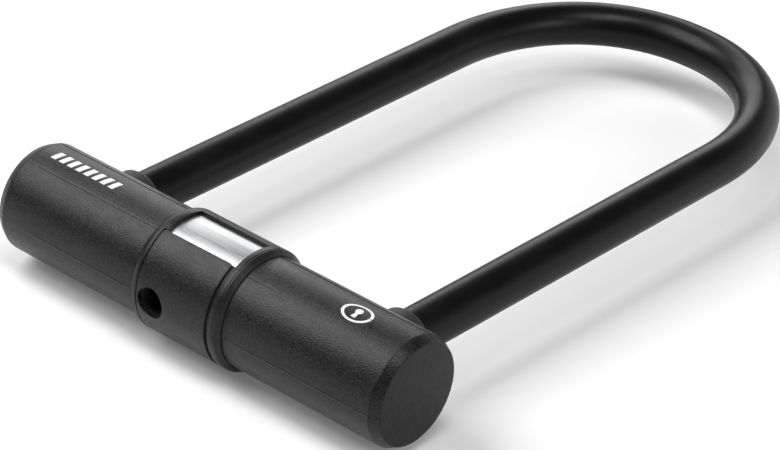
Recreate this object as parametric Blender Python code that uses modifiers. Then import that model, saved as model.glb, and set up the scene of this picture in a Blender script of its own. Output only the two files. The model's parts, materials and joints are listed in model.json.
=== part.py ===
"""U lock: a sleeved steel shackle and a round crossbar with a disc cylinder and two bolts.

The crossbar lies along X and the legs of the shackle point along +Y, with the U flat in a
level plane. The origin is the bottom centre of the whole lock's bounding box.

Lengths below are in millimetres. The helpers turn them into metres when a mesh is made.
Angles round the crossbar are in degrees, from 0 at -Y, where the key goes in, to 90 at the top.
"""

import math

import bmesh
import bpy
from mathutils import Matrix, Vector

MM = 0.001
CLEARANCE = 0.3
MERGE_DISTANCE = 0.00001
SHARP_ANGLE = math.radians(35)
OVERSHOOT = 4.0

# Shackle
OPENING_WIDTH = 101.6
OPENING_LENGTH = 228.6
ROD_RADIUS = 6.5
SLEEVE_RADIUS = 8.05
SLEEVE_WALL = 1.25
BEND_DEPTH = 68.6
BEND_POWER = 2.09
BEND_SEGMENTS = 24
FOOT_DEPTH = 10.0
FOOT_CHAMFER = 1.5
NOTCH_DEPTH = 6.0
NOTCH_CLEARANCE = 0.4

# Crossbar
TUBE_RADIUS = 16.8
TUBE_BORE = 14.2
TUBE_END = 78.9
COVER_RADIUS = 19.35
COVER_BORE = 17.1
COVER_END = 80.0
COVER_EDGE = 0.5
LEG_HOLE_RADIUS = 6.9

# Ends of the crossbar
CAP_START = 80.3
CAP_FACE = 83.7
CAP_FACE_RADIUS = 17.6
CAP_STUB_RADIUS = 6.0
CAP_STUB_END = 75.8
PLUG_START = 66.0
PLUG_END = 78.8
PLUG_BORE_END = 75.5
PLUG_PIN_X = 70.5
PLUG_PIN_RADIUS = 2.0
GASKET_START = 79.2
GASKET_END = 80.0
GASKET_BORE = 8.0

# Centre collar, guard band and shutter
COLLAR_RADIUS = 21.3
COLLAR_LEFT = -20.7
COLLAR_RIGHT = 18.7
COLLAR_LEFT_SHOULDER = -18.4
COLLAR_RIGHT_SHOULDER = 17.2
WINDOW_LEFT = -17.1
WINDOW_RIGHT = 14.5
WINDOW_TAB = -15.3
WINDOW_TAB_ANGLE = 65.2
WINDOW_TOP_ANGLE = 107.8
WINDOW_BOTTOM_ANGLE = -144.0
RAIL_BORE = 20.4
BAND_RADIUS = 20.1
SHUTTER_LEFT = -16.7
SHUTTER_RIGHT = 13.0
SHUTTER_TOP_ANGLE = 64.3
SHUTTER_BOTTOM_ANGLE = -107.0
KEYHOLE_RADIUS = 5.4
LINER_RADIUS = 6.0
LINER_REAR = 15.5
LINER_FRONT = 19.1

# Leg seals
SEAL_RADIUS = 10.3
SEAL_SHOULDER = 22.3
SEAL_LIP = 24.2
SEAL_LIP_RADIUS = 8.9
SEAL_BOTTOM = 12.0

# Lock cylinder, along its own axis: 0 on the crossbar's axis, positive towards the key
KEY_X = -10.75
KEY_ANGLE = -3.0
BARREL_RADIUS = 7.0
BARREL_BORE = 5.2
BARREL_REAR = -3.0
BARREL_FRONT = 15.2
BARREL_LIP = 14.1
BARREL_LIP_RADIUS = 4.0
SIDEBAR_GROOVE_DEPTH = 0.7
CARRIER_RADIUS = 4.9
CARRIER_BORE = 4.1
CARRIER_FRONT = 12.2
CARRIER_FLOOR = -2.0
CARRIER_REAR = -3.6
TANG_HALF = 1.5
DISC_COUNT = 7
DISC_RADIUS = 3.8
DISC_THICKNESS = 1.5
DISC_PITCH = 1.8
FIRST_DISC = -1.6
KEY_SLOT_HALF_WIDTH = 1.0
KEY_SLOT_BOTTOM = -2.9
KEY_SLOT_TOP = 2.2
DRILL_GUARD_REAR = 12.5
DRILL_GUARD_FRONT = 13.8
SIDEBAR_HALF_WIDTH = 0.6
SIDEBAR_BOTTOM = 3.4
SIDEBAR_TOP = 4.84
SIDEBAR_REAR = -0.6
SIDEBAR_FRONT = 11.2
SIDEBAR_NOTCH = 3.1

# Cam and bolts
CAM_FRONT = -4.2
CAM_REAR = -6.2
CAM_RADIUS = 6.0
CRANK_RADIUS = 4.2
CRANK_PIN_RADIUS = 1.2
CRANK_PIN_END = -9.2
CRANK_ANGLE = 45.0
BOLT_AXIS = -7.75
BOLT_RADIUS = 3.4
BOLT_TIP = 51.6
BOLT_NOSE = 0.8
TAIL_FRONT = -6.6
TAIL_REAR = -8.9
TAIL_INNER = 0.5
TAIL_OUTER = 7.0
TAIL_OVERLAP = 2.0
TAIL_END_WALL = 1.4
CRANK_SLOT_HALF_WIDTH = 1.65
CRANK_SLOT_INNER = 1.3
CRANK_SLOT_OUTER = 5.9
LEFT_ROD_START = -24.0
RIGHT_ROD_START = 16.0

# Housing and guides inside the tube
HOUSING_RADIUS = 13.8
HOUSING_LEFT = -22.5
HOUSING_RIGHT = 14.0
CAM_CHAMBER_RADIUS = 8.2
CAM_CHAMBER_REAR = -9.5
CHANNEL_HALF_WIDTH = 7.4
CHANNEL_FRONT = -6.2
CHANNEL_REAR = -9.7
HOUSING_PIN_X = 6.0
HOUSING_PIN_OFFSET = 4.0
HOUSING_PIN_RADIUS = 1.5
HOUSING_PIN_HALF_LENGTH = 15.9
GUIDE_INNER = 43.0
GUIDE_OUTER = 48.0
BUMPER_RADIUS = 4.5
BUMPER_FAR = 13.2
BUMPER_NEAR = 10.4

# Facets round a full turn
COARSE = 24
MEDIUM = 32
FINE = 48

LEG_X = (OPENING_WIDTH + 2 * SLEEVE_RADIUS) / 2
REACH = COVER_RADIUS + OPENING_LENGTH + SLEEVE_RADIUS
BEND_START = REACH - BEND_DEPTH
BAR_Y = -(REACH + SLEEVE_RADIUS - COLLAR_RADIUS) / 2
BAR_Z = COLLAR_RADIUS
SLEEVE_END = TUBE_RADIUS + 2 * CLEARANCE

BAR = Matrix.Translation(Vector((0, BAR_Y, BAR_Z)) * MM)
ALONG_X = BAR @ Matrix.Rotation(math.radians(90), 4, "Y")
ALONG_Y = BAR @ Matrix.Rotation(math.radians(-90), 4, "X")
KEY_AXIS = (
    BAR
    @ Matrix.Translation(Vector((KEY_X, 0, 0)) * MM)
    @ Matrix.Rotation(math.radians(90 - KEY_ANGLE), 4, "X")
)
KEY_SIDE = BAR @ Matrix.Rotation(math.radians(90 - KEY_ANGLE), 4, "X")

LOOKS = {
    "hardened_steel": ((0.42, 0.43, 0.44, 1.0), 0.32, 1.0),
    "shackle_vinyl": ((0.018, 0.018, 0.019, 1.0), 0.38, 0.0),
    "cover_plastic": ((0.045, 0.046, 0.048, 1.0), 0.55, 0.0),
    "brushed_stainless": ((0.55, 0.56, 0.57, 1.0), 0.30, 1.0),
    "black_rubber": ((0.020, 0.020, 0.021, 1.0), 0.60, 0.0),
    "cast_zinc": ((0.36, 0.37, 0.38, 1.0), 0.48, 1.0),
    "lock_brass": ((0.62, 0.46, 0.20, 1.0), 0.35, 1.0),
    "blackened_steel": ((0.03, 0.03, 0.032, 1.0), 0.5, 1.0),
}


def look(name):
    """Return the named material, making it on first use."""
    found = bpy.data.materials.get(name)
    if found:
        return found
    colour, roughness, metallic = LOOKS[name]
    made = bpy.data.materials.new(name)
    made.use_nodes = True
    made.diffuse_color = colour
    shader = made.node_tree.nodes["Principled BSDF"]
    shader.inputs["Base Color"].default_value = colour
    shader.inputs["Roughness"].default_value = roughness
    shader.inputs["Metallic"].default_value = metallic
    return made


def make_collection(name):
    made = bpy.data.collections.new(name)
    bpy.context.scene.collection.children.link(made)
    return made


def place(name, mesh, frame, finish=None):
    """Add a mesh as a part, or as a cutter where no finish is given."""
    piece = bpy.data.objects.new(name, mesh)
    piece.matrix_world = frame
    if finish:
        mesh.materials.append(look(finish))
        PARTS.objects.link(piece)
    else:
        CUTTERS.objects.link(piece)
        piece.hide_render = True
        piece.display_type = "WIRE"
    return piece


def disc(radius, low, high):
    """Profile of a solid cylinder between two heights."""
    return [(0, high), (radius, high), (radius, low), (0, low)]


def ring(bore, radius, low, high):
    """Profile of a plain ring between two heights."""
    return [(radius, high), (radius, low), (bore, low), (bore, high)]


def turned(name, profile, steps, frame, finish=None):
    """Turn a (radius, height) profile about the frame's Z axis."""
    points = [Vector((radius, 0, height)) * MM for radius, height in profile]
    edges = [(i, i + 1) for i in range(len(points) - 1)]
    if profile[0][0] > 0:
        edges.append((len(points) - 1, 0))
    mesh = bpy.data.meshes.new(name)
    mesh.from_pydata(points, edges, [])
    piece = place(name, mesh, frame, finish)
    screw = piece.modifiers.new("Turn", "SCREW")
    screw.steps = steps
    screw.render_steps = steps
    screw.use_merge_vertices = True
    screw.merge_threshold = MERGE_DISTANCE
    return piece


def block(name, low, high, frame, finish=None):
    """Box between two corners in the given frame."""
    low_corner, high_corner = Vector(low) * MM, Vector(high) * MM
    size = high_corner - low_corner
    solid = bmesh.new()
    bmesh.ops.create_cube(solid, size=1.0)
    bmesh.ops.scale(solid, vec=size, verts=solid.verts)
    bmesh.ops.translate(solid, vec=(low_corner + high_corner) / 2, verts=solid.verts)
    mesh = bpy.data.meshes.new(name)
    solid.to_mesh(mesh)
    solid.free()
    return place(name, mesh, frame, finish)


def curve_mesh(curve, name):
    """Evaluate a curve, weld its caps and return it as a mesh."""
    holder = bpy.data.objects.new(name, curve)
    bpy.context.scene.collection.objects.link(holder)
    bpy.context.view_layer.update()
    evaluated = holder.evaluated_get(bpy.context.evaluated_depsgraph_get())
    mesh = bpy.data.meshes.new_from_object(evaluated)
    mesh.name = name
    mesh.materials.clear()
    bpy.data.objects.remove(holder)
    bpy.data.curves.remove(curve)
    solid = bmesh.new()
    solid.from_mesh(mesh)
    bmesh.ops.remove_doubles(solid, verts=solid.verts, dist=MERGE_DISTANCE)
    solid.to_mesh(mesh)
    solid.free()
    return mesh


def sector(name, start, end, left, right):
    """Wedge cutter round the crossbar, between two angles and two places along it."""
    outer = 2 * COLLAR_RADIUS
    count = max(2, int(abs(end - start) / 10))
    angles = [math.radians(start + (end - start) * i / count) for i in range(count + 1)]
    points = [(0, 0)] + [(outer * math.cos(a), outer * math.sin(a)) for a in angles]
    curve = bpy.data.curves.new(name, "CURVE")
    curve.dimensions = "2D"
    curve.fill_mode = "BOTH"
    curve.extrude = (right - left) / 2 * MM
    spline = curve.splines.new("POLY")
    spline.points.add(len(points) - 1)
    for point, (across, up) in zip(spline.points, points):
        point.co = (across * MM, up * MM, 0, 1)
    spline.use_cyclic_u = True
    section = Matrix(((0, 0, -1, 0), (-1, 0, 0, 0), (0, 1, 0, 0), (0, 0, 0, 1)))
    middle = Matrix.Translation(Vector(((left + right) / 2, 0, 0)) * MM)
    return place(name, curve_mesh(curve, name), BAR @ middle @ section)


def combine(piece, other, operation):
    step = piece.modifiers.new(operation.title(), "BOOLEAN")
    step.operation = operation
    step.solver = "EXACT"
    step.object = other


def cut(piece, cutter):
    combine(piece, cutter, "DIFFERENCE")


def join(piece, other):
    combine(piece, other, "UNION")


def tube_curve(name, points, radius, sides, radii=None):
    """Curve swept as a round bar or, without caps, as an open skin."""
    curve = bpy.data.curves.new(name, "CURVE")
    curve.dimensions = "3D"
    curve.bevel_depth = radius * MM
    curve.bevel_resolution = sides // 2 - 2
    spline = curve.splines.new("POLY")
    spline.points.add(len(points) - 1)
    for i, (point, where) in enumerate(zip(spline.points, points)):
        point.co = (*(Vector(where) * MM), 1)
        point.radius = radii[i] if radii else 1.0
    return curve


def bend_points():
    """Points round the bend, on a slightly squared half ellipse."""
    points = []
    for i in range(BEND_SEGMENTS + 1):
        turn = math.pi * i / BEND_SEGMENTS
        across, along = math.cos(turn), math.sin(turn)
        x = LEG_X * math.copysign(abs(across) ** (2 / BEND_POWER), across)
        y = BEND_START + BEND_DEPTH * abs(along) ** (2 / BEND_POWER)
        points.append((x, y, 0))
    return points


def build_shackle():
    """Hardened rod with notched feet, and the vinyl sleeve that covers it to the crossbar."""
    foot, chamfer = -FOOT_DEPTH, -FOOT_DEPTH + FOOT_CHAMFER
    route = [(LEG_X, foot, 0), (LEG_X, chamfer, 0)] + bend_points()
    route += [(-LEG_X, chamfer, 0), (-LEG_X, foot, 0)]
    narrow = (ROD_RADIUS - FOOT_CHAMFER) / ROD_RADIUS
    radii = [narrow] + [1.0] * (len(route) - 2) + [narrow]
    curve = tube_curve("shackle_rod", route, ROD_RADIUS, COARSE, radii)
    curve.use_fill_caps = True
    rod = place("shackle_rod", curve_mesh(curve, "shackle_rod"), BAR, "hardened_steel")
    # The notches face each other, so a bolt leaving the middle of the crossbar enters each one.
    notch_y = -BOLT_AXIS * math.cos(math.radians(KEY_ANGLE))
    notch_half = BOLT_RADIUS + NOTCH_CLEARANCE
    floor = LEG_X - ROD_RADIUS + NOTCH_DEPTH
    for side in (-1, 1):
        near, far = sorted((side * floor, side * (LEG_X - ROD_RADIUS - OVERSHOOT)))
        low = (near, notch_y - notch_half, -2 * ROD_RADIUS)
        high = (far, notch_y + notch_half, 2 * ROD_RADIUS)
        cut(rod, block(f"notch_cutter_{side}", low, high, BAR))

    route = [(LEG_X, SLEEVE_END, 0)] + bend_points() + [(-LEG_X, SLEEVE_END, 0)]
    curve = tube_curve("shackle_sleeve", route, SLEEVE_RADIUS, COARSE)
    mesh = curve_mesh(curve, "shackle_sleeve")
    sleeve = place("shackle_sleeve", mesh, BAR, "shackle_vinyl")
    wall = sleeve.modifiers.new("Wall", "SOLIDIFY")
    wall.thickness = SLEEVE_WALL * MM
    wall.offset = -1
    wall.use_even_offset = True


def leg_cutter(side, radius):
    """Round cutter from the middle of the crossbar out through its leg side."""
    frame = ALONG_Y @ Matrix.Translation(Vector((side * LEG_X, 0, 0)) * MM)
    return turned(f"leg_cutter_{side}_{radius}", disc(radius, 0, 2 * COVER_RADIUS), MEDIUM, frame)


def key_cutter(name, radius):
    return turned(name, disc(radius, 0, 2 * COVER_RADIUS), MEDIUM, KEY_AXIS)


def build_tube():
    """Steel crossbar tube, bored for both feet, the key, the end pins and the housing pin."""
    profile = ring(TUBE_BORE, TUBE_RADIUS, -TUBE_END, TUBE_END)
    tube = turned("crossbar_tube", profile, MEDIUM, ALONG_X, "hardened_steel")
    for side in (-1, 1):
        cut(tube, leg_cutter(side, LEG_HOLE_RADIUS))
        cut(tube, pin_cutter(f"tube_pin_cutter_{side}", side * PLUG_PIN_X))
    cut(tube, key_cutter("tube_key_cutter", BARREL_RADIUS + CLEARANCE))
    cut(tube, housing_pin_shape("tube_housing_pin_cutter", CLEARANCE))


def build_covers():
    """Two moulded covers over the tube, each with a hole for a leg seal."""
    for side, name, inner in ((-1, "left_cover", -COLLAR_LEFT), (1, "right_cover", COLLAR_RIGHT)):
        start = inner + CLEARANCE
        low, high = sorted((side * start, side * COVER_END))
        profile = [
            (COVER_RADIUS - COVER_EDGE, high),
            (COVER_RADIUS, high - COVER_EDGE),
            (COVER_RADIUS, low + COVER_EDGE),
            (COVER_RADIUS - COVER_EDGE, low),
            (COVER_BORE, low),
            (COVER_BORE, high),
        ]
        cover = turned(name, profile, FINE, ALONG_X, "cover_plastic")
        cut(cover, leg_cutter(side, SEAL_RADIUS + CLEARANCE))


def build_leg_seals():
    """Rubber rings where the legs enter the crossbar, seated on the tube."""
    for side, name in ((-1, "left_leg_seal"), (1, "right_leg_seal")):
        bore = SLEEVE_RADIUS + CLEARANCE
        profile = [
            (SEAL_LIP_RADIUS, SEAL_LIP),
            (SEAL_RADIUS, SEAL_SHOULDER),
            (SEAL_RADIUS, SEAL_BOTTOM),
            (bore, SEAL_BOTTOM),
            (bore, SEAL_LIP),
        ]
        frame = ALONG_Y @ Matrix.Translation(Vector((side * LEG_X, 0, 0)) * MM)
        seal = turned(name, profile, MEDIUM, frame, "black_rubber")
        reach = LEG_X + 2 * SEAL_RADIUS
        saddle = turned(f"{name}_saddle", disc(COVER_BORE, -reach, reach), FINE, ALONG_X)
        cut(seal, saddle)


def build_collar():
    """Collar frame of two flanges and a back rail, with its band, liner and shutter."""
    profile = [
        (COVER_RADIUS, COLLAR_RIGHT),
        (COLLAR_RADIUS, COLLAR_RIGHT_SHOULDER),
        (COLLAR_RADIUS, COLLAR_LEFT_SHOULDER),
        (COVER_RADIUS, COLLAR_LEFT),
        (COVER_BORE, COLLAR_LEFT),
        (COVER_BORE, WINDOW_LEFT),
        (RAIL_BORE, WINDOW_LEFT),
        (RAIL_BORE, WINDOW_RIGHT),
        (COVER_BORE, WINDOW_RIGHT),
        (COVER_BORE, COLLAR_RIGHT),
    ]
    frame = turned("collar_frame", profile, FINE, ALONG_X, "cover_plastic")
    # Above the shutter a short tab narrows the window on its left side.
    track = ("track_cutter", WINDOW_BOTTOM_ANGLE, WINDOW_TAB_ANGLE, WINDOW_LEFT, WINDOW_RIGHT)
    cut(frame, sector(*track))
    window = ("window_cutter", SHUTTER_TOP_ANGLE, WINDOW_TOP_ANGLE, WINDOW_TAB, WINDOW_RIGHT)
    cut(frame, sector(*window))

    low, high = WINDOW_LEFT + CLEARANCE, WINDOW_RIGHT - CLEARANCE
    profile = ring(COVER_BORE, BAND_RADIUS, low, high)
    band = turned("guard_band", profile, FINE, ALONG_X, "brushed_stainless")
    cut(band, key_cutter("band_key_cutter", LINER_RADIUS + CLEARANCE))
    profile = ring(KEYHOLE_RADIUS, LINER_RADIUS, LINER_REAR, LINER_FRONT)
    turned("keyhole_liner", profile, MEDIUM, KEY_AXIS, "black_rubber")

    profile = ring(RAIL_BORE, COLLAR_RADIUS, SHUTTER_LEFT, SHUTTER_RIGHT)
    shutter = turned("shutter", profile, FINE, ALONG_X, "cover_plastic")
    behind = 360 + SHUTTER_BOTTOM_ANGLE
    wide = ("shutter_gap_cutter", SHUTTER_TOP_ANGLE, behind, WINDOW_LEFT, WINDOW_RIGHT)
    cut(shutter, sector(*wide))
    cut(shutter, key_cutter("shutter_key_cutter", KEYHOLE_RADIUS))


def pin_cutter(name, x):
    """Upright hole through the crossbar for an end pin."""
    frame = BAR @ Matrix.Translation(Vector((x, 0, 0)) * MM)
    reach = 2 * TUBE_RADIUS
    return turned(name, disc(PLUG_PIN_RADIUS + CLEARANCE, -reach, reach), COARSE, frame)


def build_ends():
    """Steel end plugs with their cross pins, gaskets and moulded caps."""
    for side, name in ((-1, "left"), (1, "right")):
        frame = ALONG_X if side > 0 else ALONG_X @ Matrix.Rotation(math.pi, 4, "X")
        bore = CAP_STUB_RADIUS + CLEARANCE
        profile = [
            (HOUSING_RADIUS, PLUG_END),
            (HOUSING_RADIUS, PLUG_START),
            (0, PLUG_START),
            (0, PLUG_BORE_END),
            (bore, PLUG_BORE_END),
            (bore, PLUG_END),
        ]
        plug = turned(f"{name}_end_plug", profile, MEDIUM, frame, "hardened_steel")
        cut(plug, pin_cutter(f"{name}_plug_pin_cutter", side * PLUG_PIN_X))

        upright = BAR @ Matrix.Translation(Vector((side * PLUG_PIN_X, 0, 0)) * MM)
        reach = TUBE_RADIUS - CLEARANCE
        pin = disc(PLUG_PIN_RADIUS, -reach, reach)
        turned(f"{name}_end_pin", pin, COARSE, upright, "hardened_steel")

        gasket = ring(GASKET_BORE, TUBE_RADIUS, GASKET_START, GASKET_END)
        turned(f"{name}_end_gasket", gasket, MEDIUM, frame, "black_rubber")

        profile = [
            (0, CAP_FACE),
            (CAP_FACE_RADIUS, CAP_FACE),
            (COVER_RADIUS, CAP_START),
            (CAP_STUB_RADIUS, CAP_START),
            (CAP_STUB_RADIUS, CAP_STUB_END),
            (0, CAP_STUB_END),
        ]
        turned(f"{name}_end_cap", profile, FINE, frame, "cover_plastic")


def housing_pin_shape(name, grow, finish=None):
    """Upright pin beside the cylinder; a larger one cuts its hole."""
    where = Vector((HOUSING_PIN_X, 0, HOUSING_PIN_OFFSET)) * MM
    upright = Matrix.Rotation(math.radians(-90), 4, "X")
    frame = KEY_SIDE @ Matrix.Translation(where) @ upright
    reach = HOUSING_PIN_HALF_LENGTH + (0 if finish else OVERSHOOT)
    return turned(name, disc(HOUSING_PIN_RADIUS + grow, -reach, reach), COARSE, frame, finish)


def build_housing():
    """Cast housing that holds the lock cylinder and guides both bolt tails."""
    profile = disc(HOUSING_RADIUS, HOUSING_LEFT, HOUSING_RIGHT)
    housing = turned("lock_housing", profile, FINE, ALONG_X, "cast_zinc")
    step = BARREL_REAR - CLEARANCE
    profile = [
        (0, TUBE_RADIUS),
        (BARREL_RADIUS + CLEARANCE, TUBE_RADIUS),
        (BARREL_RADIUS + CLEARANCE, step),
        (CAM_CHAMBER_RADIUS, step),
        (CAM_CHAMBER_RADIUS, CAM_CHAMBER_REAR),
        (0, CAM_CHAMBER_REAR),
    ]
    cut(housing, turned("barrel_and_cam_cutter", profile, MEDIUM, KEY_AXIS))
    low = (HOUSING_LEFT - OVERSHOOT, -CHANNEL_HALF_WIDTH, CHANNEL_REAR)
    high = (HOUSING_RIGHT + OVERSHOOT, CHANNEL_HALF_WIDTH, CHANNEL_FRONT)
    cut(housing, block("tail_channel_cutter", low, high, KEY_SIDE))
    cut(housing, housing_pin_shape("housing_pin_cutter", CLEARANCE))
    housing_pin_shape("housing_pin", 0, "hardened_steel")

    for side, name in ((-1, "left"), (1, "right")):
        low, high = sorted((side * GUIDE_INNER, side * GUIDE_OUTER))
        guide_disc = disc(HOUSING_RADIUS, low, high)
        guide = turned(f"{name}_bolt_guide", guide_disc, MEDIUM, ALONG_X, "cast_zinc")
        hole = disc(BOLT_RADIUS + CLEARANCE, low - OVERSHOOT, high + OVERSHOOT)
        cut(guide, turned(f"{name}_guide_cutter", hole, COARSE, bolt_frame()))

        bumper = disc(BUMPER_RADIUS, -BUMPER_FAR, -BUMPER_NEAR)
        frame = ALONG_Y @ Matrix.Translation(Vector((side * LEG_X, 0, 0)) * MM)
        turned(f"{name}_foot_bumper", bumper, COARSE, frame, "black_rubber")


def build_cylinder():
    """Disc cylinder: barrel, carrier, drill guard, discs and sidebar, shown unlocked."""
    profile = [
        (BARREL_RADIUS, BARREL_FRONT),
        (BARREL_RADIUS, BARREL_REAR),
        (BARREL_BORE, BARREL_REAR),
        (BARREL_BORE, BARREL_LIP),
        (BARREL_LIP_RADIUS, BARREL_LIP),
        (BARREL_LIP_RADIUS, BARREL_FRONT),
    ]
    barrel = turned("lock_barrel", profile, MEDIUM, KEY_AXIS, "blackened_steel")
    groove = SIDEBAR_HALF_WIDTH + CLEARANCE
    low = (0, -groove, SIDEBAR_REAR - CLEARANCE)
    high = (BARREL_BORE + SIDEBAR_GROOVE_DEPTH, groove, SIDEBAR_FRONT + CLEARANCE)
    cut(barrel, block("sidebar_groove_cutter", low, high, KEY_AXIS))

    profile = [
        (CARRIER_RADIUS, CARRIER_FRONT),
        (CARRIER_RADIUS, CARRIER_REAR),
        (0, CARRIER_REAR),
        (0, CARRIER_FLOOR),
        (CARRIER_BORE, CARRIER_FLOOR),
        (CARRIER_BORE, CARRIER_FRONT),
    ]
    carrier = turned("disc_carrier", profile, MEDIUM, KEY_AXIS, "lock_brass")
    low = (-TANG_HALF, -TANG_HALF, CAM_REAR)
    high = (TANG_HALF, TANG_HALF, (CARRIER_REAR + CARRIER_FLOOR) / 2)
    join(carrier, block("tang", low, high, KEY_AXIS))
    low = (-groove, 0, SIDEBAR_REAR - CLEARANCE)
    high = (groove, 2 * CARRIER_RADIUS, SIDEBAR_FRONT + CLEARANCE)
    cut(carrier, block("carrier_slot_cutter", low, high, KEY_AXIS))

    low = (-SIDEBAR_HALF_WIDTH, SIDEBAR_BOTTOM, SIDEBAR_REAR)
    high = (SIDEBAR_HALF_WIDTH, SIDEBAR_TOP, SIDEBAR_FRONT)
    block("sidebar", low, high, KEY_AXIS, "hardened_steel")

    slot_low = (-KEY_SLOT_HALF_WIDTH, KEY_SLOT_BOTTOM, FIRST_DISC - OVERSHOOT)
    slot_high = (KEY_SLOT_HALF_WIDTH, KEY_SLOT_TOP, BARREL_FRONT + OVERSHOOT)
    key_slot = block("key_slot_cutter", slot_low, slot_high, KEY_AXIS)
    notch_low = (-groove, SIDEBAR_NOTCH, FIRST_DISC - OVERSHOOT)
    notch_high = (groove, 2 * DISC_RADIUS, CARRIER_FRONT)
    notch = block("disc_notch_cutter", notch_low, notch_high, KEY_AXIS)
    for i in range(DISC_COUNT):
        low = FIRST_DISC + i * DISC_PITCH
        profile = disc(DISC_RADIUS, low, low + DISC_THICKNESS)
        code_disc = turned(f"code_disc_{i + 1}", profile, COARSE, KEY_AXIS, "lock_brass")
        cut(code_disc, key_slot)
        cut(code_disc, notch)

    profile = disc(CARRIER_RADIUS, DRILL_GUARD_REAR, DRILL_GUARD_FRONT)
    guard = turned("drill_guard", profile, MEDIUM, KEY_AXIS, "blackened_steel")
    cut(guard, key_slot)


def build_cam():
    """Cam on the carrier's tang, with one crank pin for each bolt."""
    cam = turned("bolt_cam", disc(CAM_RADIUS, CAM_REAR, CAM_FRONT), MEDIUM, KEY_AXIS, "cast_zinc")
    half = TANG_HALF + CLEARANCE
    low = (-half, -half, CAM_REAR - OVERSHOOT)
    high = (half, half, CAM_FRONT + OVERSHOOT)
    cut(cam, block("tang_cutter", low, high, KEY_AXIS))
    for name, angle in (("left", CRANK_ANGLE), ("right", CRANK_ANGLE + 180)):
        turn = math.radians(angle)
        where = Vector((CRANK_RADIUS * math.cos(turn), CRANK_RADIUS * math.sin(turn), 0)) * MM
        frame = KEY_AXIS @ Matrix.Translation(where)
        overlap = (CAM_FRONT + CAM_REAR) / 2
        pin = disc(CRANK_PIN_RADIUS, CRANK_PIN_END, overlap)
        join(cam, turned(f"{name}_crank_pin", pin, COARSE, frame))


def bolt_frame():
    """Frame along the bolts' common line, behind the cylinder."""
    behind = Matrix.Translation(Vector((0, 0, BOLT_AXIS)) * MM)
    return KEY_SIDE @ behind @ Matrix.Rotation(math.radians(90), 4, "Y")


def build_bolts():
    """Two round bolts whose flat tails run on the cam's crank pins, shown drawn back."""
    crank = CRANK_RADIUS * math.cos(math.radians(CRANK_ANGLE))
    for side, name, start in ((-1, "left", LEFT_ROD_START), (1, "right", RIGHT_ROD_START)):
        frame = bolt_frame()
        if side < 0:
            frame = frame @ Matrix.Rotation(math.pi, 4, "X")
        root = side * start
        profile = [
            (0, BOLT_TIP),
            (BOLT_RADIUS - BOLT_NOSE, BOLT_TIP),
            (BOLT_RADIUS, BOLT_TIP - BOLT_NOSE),
            (BOLT_RADIUS, root),
            (0, root),
        ]
        bolt = turned(f"{name}_bolt", profile, COARSE, frame, "hardened_steel")
        # The left tail passes above the cam's centre and the right tail below it.
        slot_x = KEY_X - side * crank
        inner_end = slot_x - side * (CRANK_SLOT_HALF_WIDTH + TAIL_END_WALL)
        near, far = sorted((inner_end, start + side * TAIL_OVERLAP))
        bottom, top = sorted((-side * TAIL_INNER, -side * TAIL_OUTER))
        low, high = (near, bottom, TAIL_REAR), (far, top, TAIL_FRONT)
        join(bolt, block(f"{name}_tail", low, high, KEY_SIDE))
        bottom, top = sorted((-side * CRANK_SLOT_INNER, -side * CRANK_SLOT_OUTER))
        low = (slot_x - CRANK_SLOT_HALF_WIDTH, bottom, TAIL_REAR - OVERSHOOT)
        high = (slot_x + CRANK_SLOT_HALF_WIDTH, top, TAIL_FRONT + OVERSHOOT)
        cut(bolt, block(f"{name}_crank_slot_cutter", low, high, KEY_SIDE))


def shade(piece):
    """Fix the modelled shape and keep its edges crisp beside smooth round faces."""
    evaluated = piece.evaluated_get(bpy.context.evaluated_depsgraph_get())
    mesh = bpy.data.meshes.new_from_object(evaluated)
    mesh.name = piece.name
    mesh.shade_smooth()
    mesh.set_sharp_from_angle(angle=SHARP_ANGLE)
    return mesh


for old in list(bpy.data.objects):
    bpy.data.objects.remove(old)
PARTS = make_collection("u_lock")
CUTTERS = make_collection("cutters")

build_shackle()
build_tube()
build_covers()
build_leg_seals()
build_collar()
build_ends()
build_housing()
build_cylinder()
build_cam()
build_bolts()

bpy.context.view_layer.update()
finished = {piece.name: shade(piece) for piece in PARTS.objects}
for piece in PARTS.objects:
    piece.modifiers.clear()
    piece.data = finished[piece.name]
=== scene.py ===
"""Looks for a U lock: rounded, finely meshed visible parts and procedural materials.

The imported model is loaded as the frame. Lengths below are in millimetres. The crossbar lies
along X and the legs along +Y. Angles round the crossbar are in degrees, from 0 at -Y, where the
key goes in, to 90 at the top.
"""

import json
import math

import bmesh
import bpy
from mathutils import Matrix, Vector


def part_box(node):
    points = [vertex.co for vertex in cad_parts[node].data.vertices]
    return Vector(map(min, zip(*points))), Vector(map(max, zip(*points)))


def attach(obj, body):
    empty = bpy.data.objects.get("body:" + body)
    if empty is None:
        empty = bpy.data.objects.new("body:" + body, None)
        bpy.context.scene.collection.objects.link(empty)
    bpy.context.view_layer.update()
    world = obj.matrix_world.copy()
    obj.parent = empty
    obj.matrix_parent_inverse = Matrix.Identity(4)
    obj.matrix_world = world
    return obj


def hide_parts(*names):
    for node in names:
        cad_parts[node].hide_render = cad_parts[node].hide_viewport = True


MM = 0.001

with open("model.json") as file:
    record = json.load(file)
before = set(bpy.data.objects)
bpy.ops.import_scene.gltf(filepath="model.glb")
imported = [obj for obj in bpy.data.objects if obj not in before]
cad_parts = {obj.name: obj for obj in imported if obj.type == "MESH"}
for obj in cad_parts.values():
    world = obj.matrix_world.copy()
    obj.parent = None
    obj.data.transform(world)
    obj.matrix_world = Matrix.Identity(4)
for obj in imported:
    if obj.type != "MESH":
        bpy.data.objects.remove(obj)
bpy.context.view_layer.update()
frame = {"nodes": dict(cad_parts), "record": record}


def span(node, axis):
    """Lowest and highest place of a CAD node along one axis, in millimetres."""
    low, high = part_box(node)
    return low[axis] / MM, high[axis] / MM


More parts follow.
